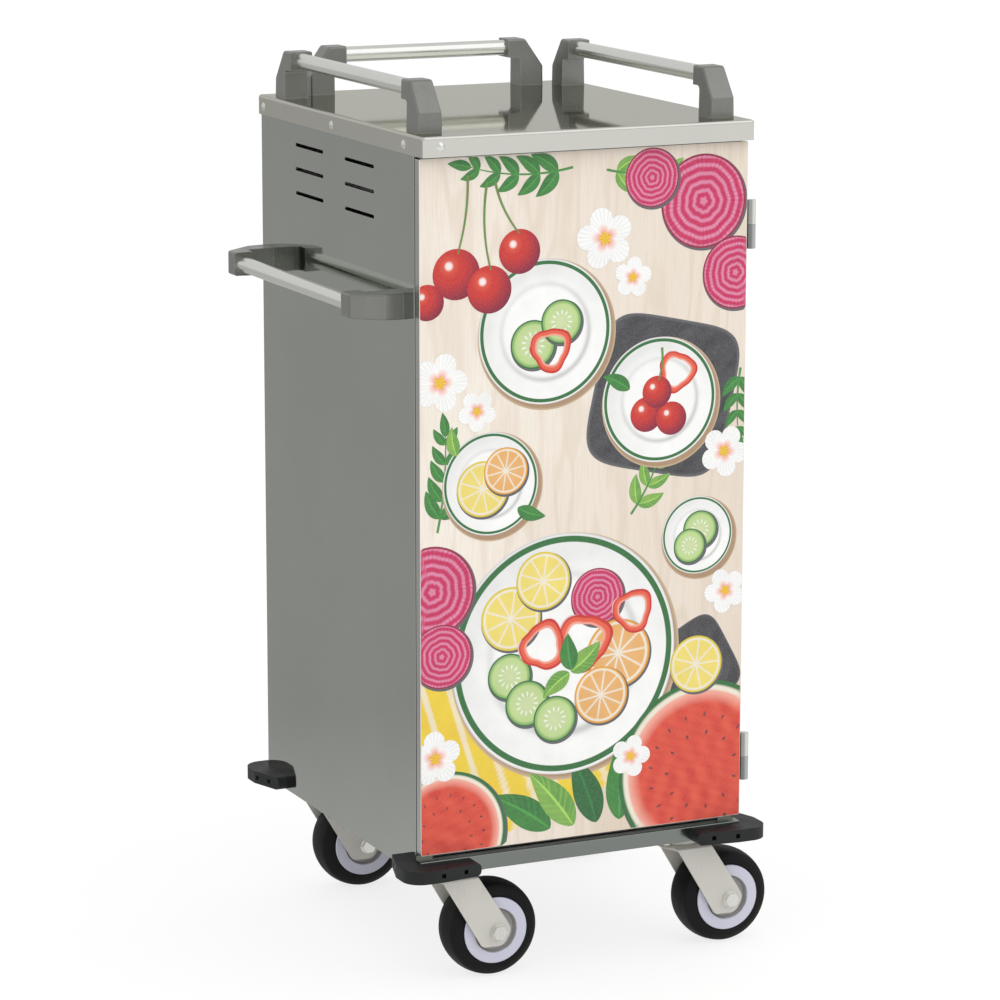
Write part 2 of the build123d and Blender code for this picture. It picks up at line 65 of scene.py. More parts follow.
# %% Colour and node helpers
def linear(red, green, blue):
    """Screen colour to linear light: divide by 255, then the sRGB curve's power of 2.4."""
    c = np.array([red, green, blue]) / 255.0
    return tuple(np.where(c <= 0.04045, c / 12.92, ((c + 0.055) / 1.055) ** 2.4))


class Finish:
    """A new material with its shader, and shortcuts to add linked nodes to it."""

    def __init__(self, name, metallic=0.0, roughness=0.5, specular=0.5, coat=0.0):
        self.material = bpy.data.materials.new(name)
        self.material.use_nodes = True
        self.tree = self.material.node_tree
        self.shader = self.tree.nodes["Principled BSDF"]
        self.shader.inputs["Metallic"].default_value = metallic
        self.shader.inputs["Roughness"].default_value = roughness
        self.shader.inputs["Specular IOR Level"].default_value = specular
        self.shader.inputs["Coat Weight"].default_value = coat
        self.place = self.add("ShaderNodeTexCoord").outputs["Object"]

    def add(self, kind, **values):
        """A node of this kind; values are its properties, or its inputs by name."""
        node = self.tree.nodes.new(kind)
        for key, value in values.items():
            name = key.replace("_", " ").title()
            if hasattr(node, key):
                setattr(node, key, value)
            else:
                node.inputs[name].default_value = value
        return node

    def link(self, a, b):
        """Join an output to an input."""
        self.tree.links.new(a, b)

    def noise(self, scale, stretch=(1, 1, 1), detail=4.0, rough=0.55):
        """Noise on the object's coordinates after they are stretched; returns a 0..1 output."""
        mapping = self.add("ShaderNodeMapping")
        mapping.inputs["Scale"].default_value = stretch
        self.link(self.place, mapping.inputs["Vector"])
        node = self.add("ShaderNodeTexNoise", scale=scale, detail=detail, roughness=rough)
        self.link(mapping.outputs["Vector"], node.inputs["Vector"])
        return node.outputs["Fac"]

    def spread(self, value, low_in, high_in, low_out, high_out):
        """Map a value from one range to another, held inside the new range."""
        node = self.add("ShaderNodeMapRange")
        for key, number in zip(
            ("From Min", "From Max", "To Min", "To Max"), (low_in, high_in, low_out, high_out)
        ):
            node.inputs[key].default_value = number
        self.link(value, node.inputs["Value"])
        return node.outputs["Result"]

    def blend(self, factor, a, b, mode="MIX"):
        """Mix two colours (values or outputs) by a factor (value or output)."""
        node = self.add("ShaderNodeMix", data_type="RGBA", blend_type=mode)
        for socket, value in ((0, factor), (6, a), (7, b)):
            if isinstance(value, bpy.types.NodeSocket):
                self.link(value, node.inputs[socket])
            elif socket == 0:
                node.inputs[socket].default_value = value
            else:
                node.inputs[socket].default_value = (*value, 1.0)
        return node.outputs[2]

    def sum(self, a, b, operation="ADD"):
        """Two outputs (or an output and a number) joined by arithmetic."""
        node = self.add("ShaderNodeMath", operation=operation)
        for socket, value in zip(node.inputs, (a, b)):
            if isinstance(value, bpy.types.NodeSocket):
                self.link(value, socket)
            else:
                socket.default_value = value
        return node.outputs[0]

    def colour(self, output):
        """Give the shader its base colour."""
        self.link(output, self.shader.inputs["Base Color"])

    def overlay(self, share, shade):
        """Turn the colour painted so far towards another shade, by a share."""
        painted = self.shader.inputs["Base Color"].links[0].from_socket
        self.colour(self.blend(share, painted, shade))

    def roughness(self, output):
        """Give the shader its roughness."""
        self.link(output, self.shader.inputs["Roughness"])

    def edges(self, width):
        """0 on flat faces and 1 at edges, where a normal rounded over this width leans away."""
        rounded = self.add("ShaderNodeBevel", radius=width, samples=4)
        lean = self.add("ShaderNodeVectorMath", operation="DOT_PRODUCT")
        self.link(rounded.outputs[0], lean.inputs[0])
        self.link(self.add("ShaderNodeNewGeometry").outputs["Normal"], lean.inputs[1])
        flat, round_over = 1.0, 0.93
        return self.spread(lean.outputs["Value"], flat, round_over, 0.0, 1.0)

    def facing(self, centre):
        """1 where a flat normal leans towards the point centre, 0 where it leans away."""
        toward = self.add("ShaderNodeVectorMath", operation="SUBTRACT")
        toward.inputs[0].default_value = centre
        self.link(self.place, toward.inputs[1])
        lean = self.add("ShaderNodeVectorMath", operation="DOT_PRODUCT")
        self.link(self.add("ShaderNodeNewGeometry").outputs["True Normal"], lean.inputs[0])
        self.link(toward.outputs[0], lean.inputs[1])
        return self.sum(lean.outputs["Value"], 0.0, "GREATER_THAN")

    def bump(self, height, strength, distance):
        """Let a height output tilt the surface, as fine relief."""
        node = self.add("ShaderNodeBump", strength=strength, distance=distance)
        self.link(height, node.inputs["Height"])
        self.link(node.outputs["Normal"], self.shader.inputs["Normal"])


print("helpers ready")

# %% [markdown]
# ## Stainless sheet
# The cabinet is satin stainless: nearly a mirror, with very fine strokes left by the
# brushing, a few soft clouds where hands and cloths have been, and light scuffs. A noise
# squeezed hard across the stroke and drawn long along it gives the strokes. The same noise
# moves the roughness a little, because that is what brushing really does. Walls are only
# polished on the outside: faces that look into the cabinet are paler and more matt.


# %% Satin metal recipe
def satin_metal(
    name, colour, rough, grain="Z", clouds=0.06, strokes=0.03, bump=0.03, edge=(1.0, 1.0, 0.985)
):
    """Base colour times strokes and clouds; roughness moved by strokes and wiping marks.

    edge is how much of the reflection is left where the metal is seen at a low angle.
    """
    finish = Finish(name, metallic=1.0, roughness=rough)
    finish.shader.inputs["Specular Tint"].default_value = (*edge, 1.0)
    stretch = {"X": (1.2, 60, 60), "Y": (60, 1.2, 60), "Z": (60, 60, 1.2)}[grain]
    stroke = finish.noise(22.0, stretch, detail=3.0)
    fine = finish.noise(70.0, stretch, detail=2.0)
    cloud = finish.noise(3.2, detail=4.0, rough=0.6)
    smear = finish.noise(9.0, (1.0, 1.0, 0.35), detail=5.0, rough=0.65)
    dark = tuple(c * (1 - strokes) for c in colour)
    light = tuple(min(1.0, c * (1 + strokes)) for c in colour)
    brushed = finish.blend(finish.spread(stroke, 0.3, 0.7, 0, 1), dark, light)
    deep = tuple(1 - clouds for _ in colour)
    clouded = finish.blend(finish.spread(cloud, 0.35, 0.65, 1, 0), brushed, deep, "MULTIPLY")
    finish.colour(clouded)
    level = finish.sum(
        finish.spread(smear, 0.35, 0.7, rough * 0.8, rough * 1.3),
        finish.spread(fine, 0.3, 0.7, -0.1 * rough, 0.1 * rough),
    )
    finish.roughness(level)
    finish.bump(finish.sum(stroke, fine), bump, 0.0002)
    return finish


inner_steel, inner_metallic, inner_matt = (0.62, 0.62, 0.60), 0.7, 0.42
wall_matt, cabinet_middle = 0.38, (0.0009, 0.0, 0.66)
knuckle_middle, knuckle_fade = 0.2520, 0.0030


def wall_metal():
    """Polished outside; inside, where a face looks at the cabinet's middle, pale and matt."""
    finish = satin_metal(
        "Satin stainless walls", (0.412, 0.430, 0.396), 0.06, "Z", strokes=0.02, bump=0.004
    )
    inside = finish.facing(cabinet_middle)
    finish.overlay(inside, inner_steel)
    polish = finish.shader.inputs["Roughness"].links[0].from_socket
    finish.roughness(finish.sum(polish, finish.sum(inside, wall_matt, "MULTIPLY")))
    finish.link(finish.spread(inside, 0, 1, 1.0, inner_metallic), finish.shader.inputs["Metallic"])
    return finish


def rack_metal():
    """Matt ground steel that scatters part of the light, as the walls do inside."""
    finish = satin_metal("Satin stainless rack", inner_steel, inner_matt, "Y")
    finish.shader.inputs["Metallic"].default_value = inner_metallic
    return finish


def hinge_metal(name, colour, rough):
    """Turned steel with a painted dark reflection of the door's edge on the half of each knuckle
    beside the door, by its x.
    """
    finish = satin_metal(name, colour, rough, "Z")
    across = finish.add("ShaderNodeSeparateXYZ")
    finish.link(finish.place, across.inputs[0])
    door_side = knuckle_middle - knuckle_fade
    # Painted reflection: the half of the knuckle beside the door darkens, as if it mirrored the
    # door's dark edge.
    darker_share = finish.spread(across.outputs["X"], door_side, knuckle_middle, 0.75, 0.0)
    finish.overlay(darker_share, tuple(0.33 * c for c in colour))
    return finish


finishes = {
    "stainless_lid": satin_metal(
        "Satin stainless lid", (0.66, 0.66, 0.61), 0.045, "Y", strokes=0.02, bump=0.002,
        edge=(0.715, 0.715, 0.66),
    ),
    "stainless_panels": wall_metal(),
    "stainless_door": satin_metal("Satin stainless door", (0.5, 0.5, 0.49), 0.2, "Z"),
    # The base's steel is the same as the walls', given a darker colour as painted shade.
    "stainless_base": satin_metal("Satin stainless base", (0.24, 0.257, 0.24), 0.18, "X"),
    "stainless_inner": rack_metal(),
    "hinge_steel": hinge_metal("Turned stainless hinge", (0.78, 0.78, 0.74), 0.22),
    "polished_tube": satin_metal(
        "Polished tube", (0.80, 0.80, 0.77), 0.2, "Y", clouds=0.03, strokes=0.015, bump=0.01
    ),
    "bright_zinc": satin_metal(
        "Bright plated fasteners", (0.86, 0.86, 0.81), 0.24, "Z", clouds=0.1
    ),
}
print("metals", sorted(finishes))

# %% [markdown]
# ## Cast, painted and moulded finishes
# The brackets are castings with a grey, slightly pebbled coat. The castor forks wear a
# pale silver finish with faint rolling marks, and the wheel centres are smooth pale
# plastic. Rubber is dark, matt and dusty: a large soft noise lifts the colour where dust
# lies, and a fine one gives the skin of the mould.


# %% Coated and moulded recipes
edge_width = 0.0016


def coated(
    name, colour, rough, pebble, depth, dust=0.08, metallic=0.0, specular=0.5, edge_highlight=0.0
):
    """Colour lifted by a soft dust cloud, roughness by a middle noise, skin by a fine one.

    The last argument sets how far the colour turns to a paler one along the edges, as a painted
    highlight.
    """
    finish = Finish(name, metallic=metallic, roughness=rough, specular=specular)
    cloud = finish.noise(14.0, detail=5.0, rough=0.6)
    grit = finish.noise(pebble, detail=2.0)
    mark = finish.noise(45.0, (1, 1, 0.3), detail=4.0, rough=0.7)
    worn = tuple(c * (1 - 0.5 * dust) for c in colour)
    dusty = tuple(c + (0.35 - c * 0.35) * dust for c in colour)
    base = finish.blend(finish.spread(cloud, 0.35, 0.65, 0, 1), worn, dusty)
    speck = finish.spread(mark, 0.62, 0.72, 0, 0.5)
    base = finish.blend(speck, base, tuple(c * 0.8 for c in colour))
    # Painted highlight: the colour turns paler along the edges that the bevel finds, unevenly by
    # the dust cloud.
    if edge_highlight:
        uneven = finish.spread(cloud, 0.3, 0.6, 0.4, 1.0)
        painted_highlight = finish.sum(finish.edges(edge_width), uneven, "MULTIPLY")
        painted_highlight = finish.sum(painted_highlight, edge_highlight, "MULTIPLY")
        base = finish.blend(painted_highlight, base, tuple(min(1.0, c * 2.2) for c in colour))
    finish.colour(base)
    finish.roughness(finish.spread(mark, 0.3, 0.7, rough - 0.07, rough + 0.08))
    finish.bump(grit, depth, 0.0003)
    return finish


finishes.update({
    "cast_brackets": coated(
        "Grey cast bracket", linear(132, 133, 128), 0.3, 900.0, 0.04, 0.03, metallic=0.7,
        edge_highlight=0.6,
    ),
    "castor_steel": coated(
        "Pale silver castor steel", linear(206, 204, 196), 0.38, 700.0, 0.05, 0.03
    ),
    "castor_hub": coated("Pale wheel centre", linear(206, 206, 222), 0.4, 500.0, 0.04, 0.03),
    "tyre_rubber": coated(
        "Black tyre rubber", linear(11, 12, 11), 0.58, 420.0, 0.15, 0.008, specular=0.22
    ),
    "bumper_rubber": coated(
        "Charcoal bumper rubber", linear(22, 24, 26), 0.5, 800.0, 0.15, 0.02, specular=0.35
    ),
    "seal_rubber": coated("Dark door seal", linear(60, 60, 60), 0.6, 600.0, 0.1, 0.05),
    "catch_plastic": coated("Pale catch housing", linear(205, 204, 198), 0.45, 600.0, 0.05, 0.03),
})
print("finishes", len(finishes))

# %% [markdown]
# ## Wheel centres
# Each wheel centre is moulded in one pale plastic, and its material paints the dished middle
# greyer. A circle round that wheel's own axle, in its material, sets where the grey lies, so that
# the shape of the mould itself needs no second colour.


# %% Wheel centre finish
dish_radius, dish_fade = 0.0305, 0.0020
hub_colour = linear(206, 206, 222)


def centre_of(node):
    """Middle of a node's box."""
    a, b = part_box(node)
    return (np.array(a) + np.array(b)) / 2


def wheel_centre(corner):
    """Pale plastic, greyer inside a radius: the distance from the axle in x and z."""
    finish = coated(f"Pale wheel centre {corner}", hub_colour, 0.4, 500.0, 0.04, 0.03)
    x, _, z = centre_of(f"castor_{corner}_hub")
    from_axle = finish.add("ShaderNodeMapping")
    from_axle.inputs["Location"].default_value = (-x, 0, -z)
    from_axle.inputs["Scale"].default_value = (1, 0, 1)
    finish.link(finish.place, from_axle.inputs["Vector"])
    distance = finish.add("ShaderNodeVectorMath", operation="LENGTH")
    finish.link(from_axle.outputs["Vector"], distance.inputs[0])
    uneven = finish.spread(finish.noise(60.0, detail=3.0), 0.3, 0.7, -0.0008, 0.0008)
    rim = finish.sum(distance.outputs["Value"], uneven)
    # The colour turns greyer inside the dish radius round the axle.
    darker_share = finish.spread(rim, dish_radius, dish_radius + dish_fade, 0.85, 0.0)
    finish.overlay(darker_share, linear(158, 156, 150))
    return finish


corners = ("front_left", "front_right", "rear_left", "rear_right")
hub_finishes = {f"castor_{corner}_hub": wheel_centre(corner) for corner in corners}
print("wheel centres", len(hub_finishes))

# %% [markdown]
# ## The door's ground
# The door carries a printed film. Its ground is a picture of pale planed wood: long soft
# grain that runs up the door, a few darker growth lines, and large warm and cool areas.
# We print it as a procedural pattern on the skin itself, so it needs no image.


# %% Printed wood ground
def wood_print():
    """Growth lines are a sine of a stretched noise; soft clouds warm and cool the ground."""
    finish = Finish("Printed pale wood ground", roughness=0.34, specular=0.45, coat=0.15)
    finish.shader.inputs["Coat Roughness"].default_value = 0.12
    flow = finish.noise(3.0, (3.2, 1, 0.55), detail=3.0, rough=0.5)
    rings = finish.add("ShaderNodeMath", operation="SINE")
    finish.link(finish.sum(flow, 55.0, "MULTIPLY"), rings.inputs[0])
    fibre = finish.noise(60.0, (9, 1, 0.35), detail=4.0, rough=0.6)
    warm = finish.noise(2.6, (1, 1, 0.6), detail=2.0)
    across = finish.add("ShaderNodeSeparateXYZ")
    finish.link(finish.place, across.inputs[0])
    toward_hinge = finish.spread(across.outputs["X"], -0.25, 0.25, -0.15, 0.3)
    pale, tan = linear(245, 237, 226), linear(222, 206, 188)
    share = finish.sum(finish.spread(warm, 0.3, 0.7, 0.1, 0.75), toward_hinge)
    ground = finish.blend(share, pale, tan)
    lines = finish.spread(rings.outputs[0], 0.2, 1.0, 0.0, 0.24)
    ground = finish.blend(lines, ground, linear(206, 184, 158))
    fine = finish.spread(fibre, 0.45, 0.75, 0.0, 0.35)
    finish.colour(finish.blend(fine, ground, linear(212, 194, 172)))
    finish.roughness(finish.spread(fibre, 0.3, 0.7, 0.30, 0.38))
    finish.bump(fibre, 0.02, 0.0002)
    return finish


finishes["door_print"] = wood_print()
frame_leaf = hinge_metal("Turned stainless hinge, frame leaf", (0.50, 0.51, 0.50), 0.24)

for node, slot in slot_of.items():
    mesh = frame["nodes"][node].data
    mesh.materials.clear()
    darker = slot == "hinge_steel" and node.endswith("frame")
    finish = frame_leaf if darker else hub_finishes.get(node, finishes[slot])
    mesh.materials.append(finish.material)
print("dressed", len(slot_of), "nodes in", len(finishes), "finishes")

# %% [markdown]
# ## Surfaces from arrays
# New pieces are grids: rows of points that run round the piece, each row a step further
# along it. If the first or last row shrinks to a point, a fan closes it. All of the
# positions are worked out as whole arrays, and a colour for each point can go with them.
# Several grids can share one mesh, which keeps many small shapes of one kind in one piece.


# %% Grids to one mesh
def grid_faces(rows, columns, start, ring):
    """Point numbers of every face of one grid that begins at point number start.

    Each row is joined to the next and round to its own first point. With ring, the last
    row joins the first one; otherwise a fan closes each end, round a point after the grid.
    """
    index = start + np.arange(rows * columns).reshape(rows, columns)
    here = index if ring else index[:-1]
    above = np.roll(index, -1, axis=0) if ring else index[1:]
    ahead, above_ahead = np.roll(here, -1, axis=1), np.roll(above, -1, axis=1)
    faces = np.stack([here, ahead, above_ahead, above], axis=-1).reshape(-1, 4).tolist()
    if not ring:
        first, last = start + rows * columns, start + rows * columns + 1
        begin, end = index[0], index[-1]
        faces += np.stack([np.full(columns, first), np.roll(begin, -1), begin], axis=-1).tolist()
        faces += np.stack([np.full(columns, last), end, np.roll(end, -1)], axis=-1).tolist()
    return faces


def with_ends(block, ring):
    """All rows of a grid in one list, and unless ring, the middles of its two end rows."""
    ends = [] if ring else [block[:1].mean(axis=1), block[-1:].mean(axis=1)]
    return np.concatenate([block.reshape(-1, 3), *ends])


def closed_surface(name, grids, finish, body, tints=None, ring=False):
    """One piece from a list of grids of shape (rows, columns, 3), with their tints."""
    points = [with_ends(grid, ring) for grid in grids]
    faces, start = [], 0
    for grid, block in zip(grids, points):
        faces += grid_faces(*grid.shape[:2], start, ring)
        start += len(block)
    mesh = bpy.data.meshes.new(name)
    mesh.from_pydata(np.concatenate(points).tolist(), [], faces)
    if tints:
        shades = np.concatenate([with_ends(tint, ring) for tint in tints])
        layer = mesh.color_attributes.new("tint", "FLOAT_COLOR", "POINT")
        layer.data.foreach_set("color", np.column_stack([shades, np.ones(start)]).ravel())
    mesh.polygons.foreach_set("use_smooth", np.full(len(faces), tints is None))
    mesh.materials.append(finish.material)
    piece = bpy.data.objects.new(name, mesh)
    bpy.context.scene.collection.objects.link(piece)
    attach(piece, body)
    return piece


print("grid helper ready")

# %% [markdown]
# ## Tyres
# A tyre is a profile turned round the axle. The real one has flat side walls, rounded
# shoulders and a slightly crowned tread with a fine moulding seam down its middle. We
# carry that profile round 160 steps, which is smooth in any close view.


# %% Four tyres
wheel_radius, tyre_half, tread_half, shoulder_drop = 0.0675, 0.0265, 0.020, 0.003
wall_radius, bead_radius, bead_inner, bead_chamfer = 0.050, 0.0462, 0.0461, 0.0006
seam_height, seam_width = 0.0001, 0.0005
groove_rise, groove_width, groove_depth = 0.0022, 0.0008, 0.00035
turn_steps = 160


def tyre_profile():
    """Half-width across and radius, from bead to bead over the tread.

    The tread is an arc whose radius is (half squared + drop squared) / (2 drop). Each
    shoulder is an arc that leaves the side wall square to the axle: with a rise r and a
    run d, its radius is (r squared + d squared) / (2 d). The moulding seam and the groove
    on the side wall are narrow bell curves.
    """
    crown = (tread_half**2 + shoulder_drop**2) / (2 * shoulder_drop)
    across = np.linspace(-1, 1, 41) * tread_half
    radius = wheel_radius - crown + np.sqrt(crown**2 - across**2)
    radius += -seam_height + seam_height * np.exp(-((across / seam_width) ** 2))
    rise = wheel_radius - shoulder_drop - wall_radius
    run = tyre_half - tread_half
    bend = (rise**2 + run**2) / (2 * run)
    lift = np.linspace(0, rise, 14)[:-1]
    wall = np.column_stack([tyre_half - bend + np.sqrt(bend**2 - lift**2), wall_radius + lift])
    groove = np.exp(-(((wall[:, 1] - wall_radius - groove_rise) / groove_width) ** 2))
    wall[:, 0] -= groove_depth * groove
    bead = np.array([[tyre_half - bead_chamfer, bead_inner], [tyre_half, bead_radius]])
    right = np.concatenate([bead, wall])
    left = right * [-1, 1]
    return np.concatenate([left, np.column_stack([across, radius]), right[::-1]])


profile = tyre_profile()
turns = np.linspace(0, 2 * np.pi, turn_steps, endpoint=False)
for corner in corners:
    node = f"castor_{corner}_tyre"
    middle = centre_of(node)
    grid = np.stack(
        [
            middle[0] + profile[:, None, 1] * np.sin(turns),
            middle[1] + profile[:, None, 0] + 0 * turns,
            middle[2] + profile[:, None, 1] * np.cos(turns),
        ],
        axis=-1,
    )
    tyre = closed_surface(
        f"tyre_{corner}", [grid], finishes["tyre_rubber"], f"castor_{corner}_wheel",
        ring=True,
    )
    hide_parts(node)
    print(tyre.name, "radius", round(float(profile[:, 1].max()), 4))

# %% [markdown]
# ## The print on the door
# The film on the door shows a kitchen still life over its wooden ground. Each motif is a
# very thin flat sheet on the door, a few hundredths of a millimetre in front of the one
# below, as if the print were laid in stencils. Flat sheets keep every outline sharp at any
# distance, and their colours are painted point by point with formulas, as a printer's
# inks would be. First come the inks, and small tools to paint with.


# %% Inks and brushes
ink = {
    name: np.array(linear(*shade))
    for name, shade in {
        "green": (38, 110, 52), "leaf": (66, 142, 58), "lime": (150, 192, 86),
        "white": (250, 250, 248), "shade": (214, 215, 214), "cream": (240, 232, 214),
        "red": (204, 38, 30), "coral": (234, 92, 62), "blush": (244, 168, 150),
        "wine": (150, 12, 58), "magenta": (214, 32, 98), "pink": (240, 150, 186),
        "yellow": (240, 216, 56), "amber": (232, 160, 40), "charcoal": (46, 46, 50),
        "slate": (84, 84, 88), "tan": (206, 182, 150), "brown": (140, 92, 52),
    }.items()
}


def mixed(a, b, share):
    """Ink a turning into ink b as share goes from 0 to 1; either may be an array."""
    share = np.asarray(share)[..., None]
    return a * (1 - share) + b * share


def step(value, at, soft):
    """0 below the mark and 1 above it, with a ramp as wide as soft."""
    return np.clip((value - at) / soft + 0.5, 0, 1)


def waves(x, z, pitch, seed):
    """Soft unevenness: the mean of seven sine waves of about this pitch, in -1..1."""
    random = np.random.default_rng(seed)
    total = 0 * x
    for way, shift, size in random.uniform(0, 1, (7, 3)):
        turn = 2 * np.pi * way
        across = np.cos(turn) * x + np.sin(turn) * z
        total = total + np.sin(2 * np.pi * (across / (pitch * (0.6 + size)) + shift))
    return total / 7


print("inks", len(ink))

# %% [markdown]
# A flat shape grows from its middle in rows that are all scaled copies of its outline, so
# the outermost row is the outline itself. Where the outline would pass the door's edge it
# is cut there, as the film is. A leaf or stem follows a line instead, with a width for
# each point of it.

# %% Stencils
skin_low, skin_high = (np.array(corner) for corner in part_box("door_print_skin"))
edge_margin = 0.0008
left_edge, right_edge = skin_low[0] + edge_margin, skin_high[0] - edge_margin
low_edge, high_edge = skin_low[2] + edge_margin, skin_high[2] - edge_margin
door_middle = (skin_low[0] + skin_high[0]) / 2
film_step = 0.00006


def to_edge(x, z, angle):
    """Distance from a point to the door's edge in each direction.

    The edge ahead is at x or z plus distance times the direction; the nearer one counts.
    """
    go_x, go_z = np.cos(angle), np.sin(angle)
    ahead_x = np.where(go_x > 0, right_edge - x, x - left_edge) / np.maximum(np.abs(go_x), 1e-9)
    ahead_z = np.where(go_z > 0, high_edge - z, z - low_edge) / np.maximum(np.abs(go_z), 1e-9)
    return np.minimum(ahead_x, ahead_z)


def front_and_back(x, z, layer, axis):
    """Stack the painted front of a film shape with its plain back on the door."""
    front = np.stack([x, np.full_like(x, skin_low[1] - layer * film_step), z], axis=-1)
    take = np.array([-1, 0])
    x_back, z_back = np.take(x, take, axis=axis), np.take(z, take, axis=axis)
    back = np.stack([x_back, np.full_like(x_back, skin_low[1]), z_back], axis=-1)
    return np.concatenate([front, back], axis=axis), take


def flat_shape(
    place, radius, paint, layer, outline=None, turn=0.0, hole=0.03, detail=(30, 120), sharp=()
):
    """Grid and tints of one flat shape.

    The point at share s and angle t lies at s * min(radius * outline(t), to_edge(t)) from
    the middle. sharp lists shares where an ink ends crisply: two rows close together.
    """
    x0, z0 = door_middle + place[0], place[1]
    rows, columns = detail
    angle = -np.linspace(0, 2 * np.pi, columns, endpoint=False)
    full = radius * (outline(angle) if outline else np.ones(columns))
    reach = np.minimum(full, to_edge(x0, z0, angle + turn))
    pairs = [mark + side for mark in sharp for side in (-0.003, 0.003)]
    share = np.unique(np.concatenate([np.linspace(hole, 1, rows), pairs]))[:, None]
    away = share * reach
    x = x0 + away * np.cos(angle + turn)
    z = z0 + away * np.sin(angle + turn)
    tint = paint(away / full, angle + 0 * away, away * np.cos(angle), away * np.sin(angle))
    grid, take = front_and_back(x, z, layer, 0)
    return grid, np.concatenate([tint, tint[take]])


def flat_ribbon(path, width, paint, layer, across=9):
    """Grid and tints of a leaf or stem along a path, with its width at each point.

    The path's direction (a, b) has (b, -a) on its right, and points go out that way.
    """
    path = np.asarray(path, dtype=float) + [door_middle, 0]
    run = np.gradient(path, axis=0)
    run /= np.linalg.norm(run, axis=1)[:, None]
    side = np.linspace(-1, 1, across)
    out = side * np.asarray(width)[:, None] / 2
    x = np.clip(path[:, :1] + run[:, 1:] * out, left_edge, right_edge)
    z = np.clip(path[:, 1:] - run[:, :1] * out, low_edge, high_edge)
    along = np.linspace(0, 1, len(path))[:, None] + 0 * out
    tint = paint(along, side + 0 * out, x, z)
    grid, take = front_and_back(x, z, layer, 1)
    return grid, np.concatenate([tint, tint[:, take]], axis=1)


print("door", np.round(skin_low, 4), np.round(skin_high, 4))

# %% [markdown]
# The film's finish reads each point's tint. Printer's inks are never quite even, so a soft
# cloud and a fine screen move the colour a little, and the clear film over them is glossy
# with a faint orange peel.


# %% Printed film finish
def printed_film():
    """Tint times a soft cloud and a fine grain, under a slightly wavy clear coat."""
    finish = Finish("Printed film", roughness=0.33, specular=0.45, coat=0.15)
    finish.shader.inputs["Coat Roughness"].default_value = 0.12
    tint = finish.add("ShaderNodeAttribute", attribute_name="tint").outputs["Color"]
    cloud = finish.spread(finish.noise(30.0, detail=3.0), 0.3, 0.7, 0.0, 0.07)
    grain = finish.spread(finish.noise(620.0, detail=1.0), 0.4, 0.7, 0.0, 0.06)
    uneven = finish.blend(cloud, tint, (0.0, 0.0, 0.0))
    finish.colour(finish.blend(grain, uneven, (0.85, 0.83, 0.8)))
    finish.roughness(finish.spread(finish.noise(46.0, detail=3.0), 0.3, 0.7, 0.29, 0.37))
    finish.bump(finish.noise(260.0, detail=2.0), 0.03, 0.0002)
    return finish


film_finish = printed_film()


def print_piece(name, shapes, ring=False):
    """One piece on the door from a list of (grid, tints) pairs."""
    grids, tints = zip(*shapes)
    piece = closed_surface(name, grids, film_finish, "door", tints, ring)
    print(name, len(shapes), "shapes,", len(piece.data.polygons), "faces")


# %% [markdown]
# ## Cloth, boards and plates
# The large quiet shapes come first: a yellow cloth, dark slate boards with soft corners,
# and white plates with a green rim. A plate has a ring of shade where its well begins,
# darker towards the light, which is what makes a flat disc look like a dish.
# Places here and below are measured across from the door's middle and up from the floor,
# and a shape's layer says how many film steps it stands in front of the door.


# %% Large shapes
rim_from, rim_to = 0.925, 0.975


def squarish(angle):
    """Outline of a square with soft corners: 1 over the fifth-power mean of cos and sin."""
    return 1 / (np.abs(np.cos(angle)) ** 5 + np.abs(np.sin(angle)) ** 5) ** 0.2


def round_shadow(share, angle, x, z):
    """A soft rim of shade on the wooden ground."""
    return mixed(mixed(ink["brown"], ink["tan"], 0.45), ink["tan"], step(share, 0.985, 0.03))


def cloth(share, angle, x, z):
    """Yellow weave with a hem line, narrow pale stripes and soft folds."""
    fold = 0.5 + 0.5 * waves(x, z, 0.11, 5)
    base = mixed(ink["yellow"], ink["amber"], 0.45 * fold)
    stripe = step(np.abs(np.sin(x / 0.0115)), 0.93, 0.05)
    return mixed(base, ink["cream"], 0.75 * stripe)


def board(share, angle, x, z):
    """Slate with cloudy grey bloom and a pale worn edge."""
    base = mixed(ink["charcoal"], ink["slate"], 0.45 + 0.45 * waves(x, z, 0.035, 9))
    return mixed(base, ink["slate"] * 1.6, step(share, 0.975, 0.02))


def plate(share, angle, x, z):
    """White glaze, a shaded ring at the well, and a green line round the rim."""
    toward = 0.5 - 0.5 * np.cos(angle - 2.2)
    ring = np.exp(-(((share - 0.66) / 0.035) ** 2)) * (0.35 + 0.65 * toward)
    base = mixed(ink["white"], ink["shade"] * 0.86, ring)
    base = mixed(base, ink["shade"], 0.5 * step(share, 0.72, 0.25) * (1 - toward))
    rim = step(share, rim_from, 0.006) * (1 - step(share, rim_to, 0.006))
    base = mixed(base, ink["green"], rim)
    return mixed(base, ink["shade"], step(share, 0.99, 0.01))


large = [
    flat_shape((-0.095, 0.385), 0.158, cloth, 2, squarish, 0.3, detail=(60, 160)),
    flat_shape((0.118, 0.800), 0.106, board, 2, squarish, -0.22, detail=(40, 140)),
    flat_shape((0.168, 0.415), 0.062, board, 3, squarish, 0.5, detail=(30, 120)),
]
print_piece("print_cloth_boards", large)

